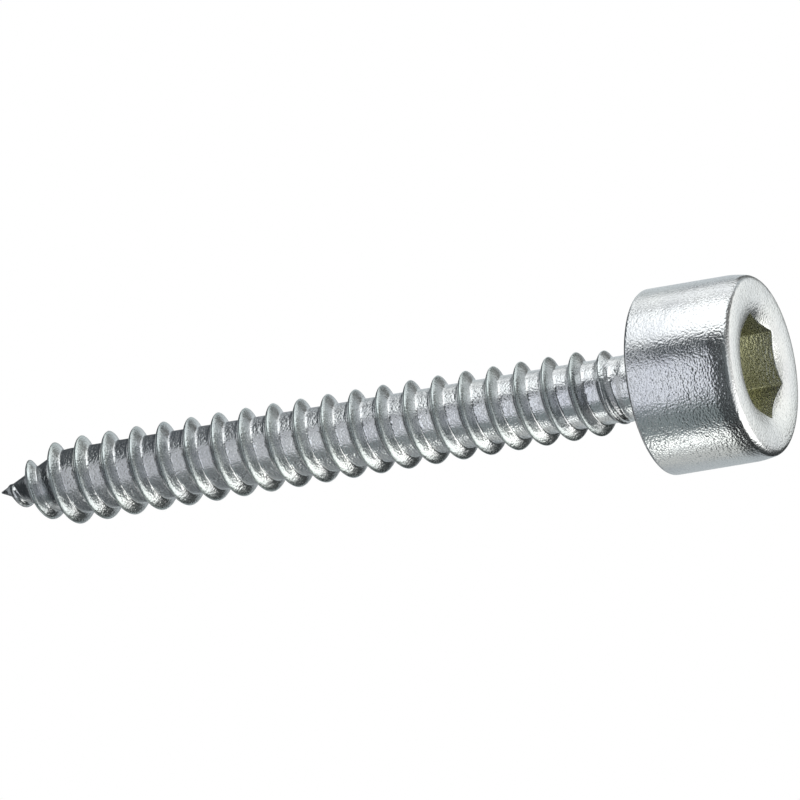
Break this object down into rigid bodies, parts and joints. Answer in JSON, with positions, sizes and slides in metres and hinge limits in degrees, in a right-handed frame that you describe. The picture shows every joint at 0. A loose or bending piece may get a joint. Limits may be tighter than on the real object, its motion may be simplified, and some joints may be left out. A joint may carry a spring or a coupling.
{
  "type": "self-tapping screw",
  "caption": "Self-tapping screw with a round hex-socket head, a coarse right-hand thread over its whole shank and a cone point.",
  "frame": {"origin": "centre of the bearing face, the underside of the head that seats on the work", "axes": "+Z along the shank from the head to the point, +X through a corner of the hex socket; the screw stands on its head"},
  "size_m": [0.01, 0.01, 0.0444],
  "materials": {
    "zinc_plated_steel": "bright zinc plate, slightly satin, finely speckled"
  },
  "bodies": {
    "root": {"screw": "zinc_plated_steel"}
  },
  "joints": []
}
